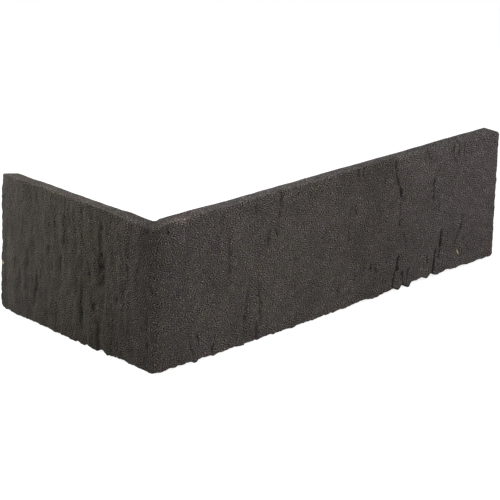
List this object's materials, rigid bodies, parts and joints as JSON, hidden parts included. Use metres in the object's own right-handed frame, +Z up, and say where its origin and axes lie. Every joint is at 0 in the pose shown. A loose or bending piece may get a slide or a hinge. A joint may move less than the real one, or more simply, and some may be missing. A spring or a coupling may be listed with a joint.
{
  "type": "corner brick slip",
  "caption": "L-shaped corner brick slip: a thin fired-clay facing with a long stretcher leg and a short header leg, bonded over the outside corner of a wall.",
  "frame": {"origin": "middle of the bounding box, on the lower bed that the slip stands on", "axes": "+X along the stretcher leg, away from the corner; +Y along the header leg, away from the corner; +Z up the course height. The sanded faces look along -Y and -X."},
  "size_m": [0.24, 0.115, 0.071],
  "materials": {
    "fired_clay": "matt, sand-faced, dragged"
  },
  "bodies": {
    "root": {"corner_slip": "fired_clay"}
  },
  "joints": []
}
